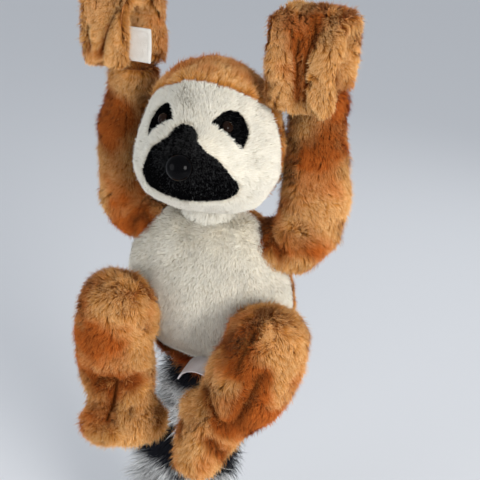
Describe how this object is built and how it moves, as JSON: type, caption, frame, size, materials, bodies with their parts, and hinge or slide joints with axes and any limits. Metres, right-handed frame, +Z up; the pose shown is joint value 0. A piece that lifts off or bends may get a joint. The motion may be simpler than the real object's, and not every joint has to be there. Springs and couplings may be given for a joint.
{
  "type": "stuffed animal toy",
  "caption": "Hanging plush animal with long arms, curled hands that grip a rail, splayed legs and a long ringed tail.",
  "frame": {"origin": "on the axis of the rail that the hands grip, midway between the hands", "axes": "+X to the toy's left, along the rail; the toy faces -Y; +Z up"},
  "size_m": [0.244, 0.2534, 0.6316],
  "materials": {
    "tan_pile": "brushed medium pile, tan with orange-brown folds",
    "cream_pile": "short dense cream pile",
    "black_pile": "very short black pile",
    "pale_tail_pile": "long fluffy off-white pile",
    "dark_tail_pile": "long fluffy black pile",
    "stuffing": "polyester fibre filling",
    "button_plastic": "polished dark plastic",
    "washer_plastic": "moulded plastic",
    "grip_tape": "white hook and loop tape",
    "label_satin": "white satin ribbon"
  },
  "bodies": {
    "torso": {"belly_panel": "cream_pile", "back_panel": "tan_pile", "torso_filling": "stuffing", "care_label": "label_satin"},
    "neck": {"neck_filling": "stuffing"},
    "head": {"face_panel": "cream_pile", "head_cap": "tan_pile", "head_filling": "stuffing", "muzzle_patch": "black_pile", "nose": "button_plastic", "nose_washer": "washer_plastic", "eye_left": "button_plastic", "eye_left_washer": "washer_plastic", "eye_patch_left": "black_pile", "eye_right": "button_plastic", "eye_right_washer": "washer_plastic", "eye_patch_right": "black_pile"},
    "arm_left": {"arm_skin_left": "tan_pile", "arm_filling_left": "stuffing", "hand_palm_left": "tan_pile"},
    "arm_right": {"arm_skin_right": "tan_pile", "arm_filling_right": "stuffing", "hand_palm_right": "tan_pile"},
    "fingers_left": {"hand_fingers_left": "tan_pile", "hook_patch_left": "grip_tape"},
    "fingers_right": {"hand_fingers_right": "tan_pile", "loop_patch_right": "grip_tape"},
    "leg_left": {"leg_skin_left": "tan_pile", "leg_filling_left": "stuffing", "foot_skin_left": "tan_pile", "foot_filling_left": "stuffing"},
    "leg_right": {"leg_skin_right": "tan_pile", "leg_filling_right": "stuffing", "foot_skin_right": "tan_pile", "foot_filling_right": "stuffing"},
    "tail": {"tail_filling": "stuffing", "tail_ring_1": "pale_tail_pile", "tail_ring_2": "dark_tail_pile", "tail_ring_3": "pale_tail_pile", "tail_ring_4": "dark_tail_pile", "tail_ring_5": "pale_tail_pile", "tail_ring_6": "dark_tail_pile"}
  },
  "joints": [
    {"name": "neck_nod", "type": "hinge", "parent": "torso", "child": "neck", "pos_m": [0, -0.002, -0.158], "axis": [1, 0, 0], "range_deg": [-12, 15], "stiffness_Nm_per_rad": 0.6},
    {"name": "head_turn", "type": "hinge", "parent": "neck", "child": "head", "pos_m": [0, -0.002, -0.158], "axis": [0, 0, 1], "range_deg": [-40, 35], "stiffness_Nm_per_rad": 0.3},
    {"name": "shoulder_left", "type": "hinge", "parent": "torso", "child": "arm_left", "pos_m": [0.057, 0.006, -0.19], "axis": [1, 0, 0], "range_deg": [-50, 80], "stiffness_Nm_per_rad": 1.2},
    {"name": "shoulder_right", "type": "hinge", "parent": "torso", "child": "arm_right", "pos_m": [-0.057, 0.006, -0.19], "axis": [1, 0, 0], "range_deg": [-50, 80], "stiffness_Nm_per_rad": 1.2},
    {"name": "grip_left", "type": "hinge", "parent": "arm_left", "child": "fingers_left", "pos_m": [0.089, -0.00551, 0.02592], "axis": [-1, 0, 0], "range_deg": [0, 110], "stiffness_Nm_per_rad": 0.1},
    {"name": "grip_right", "type": "hinge", "parent": "arm_right", "child": "fingers_right", "pos_m": [-0.089, -0.00551, 0.02592], "axis": [-1, 0, 0], "range_deg": [0, 110], "stiffness_Nm_per_rad": 0.1},
    {"name": "hip_left", "type": "hinge", "parent": "torso", "child": "leg_left", "pos_m": [0.056, -0.02, -0.272], "axis": [1, 0, 0], "range_deg": [-8, 45], "stiffness_Nm_per_rad": 1.2},
    {"name": "hip_right", "type": "hinge", "parent": "torso", "child": "leg_right", "pos_m": [-0.056, -0.02, -0.272], "axis": [1, 0, 0], "range_deg": [-8, 38], "stiffness_Nm_per_rad": 1.2},
    {"name": "tail_swing", "type": "hinge", "parent": "torso", "child": "tail", "pos_m": [0, 0.043, -0.29], "axis": [1, 0, 0], "range_deg": [-15, 60], "stiffness_Nm_per_rad": 0.5}
  ]
}
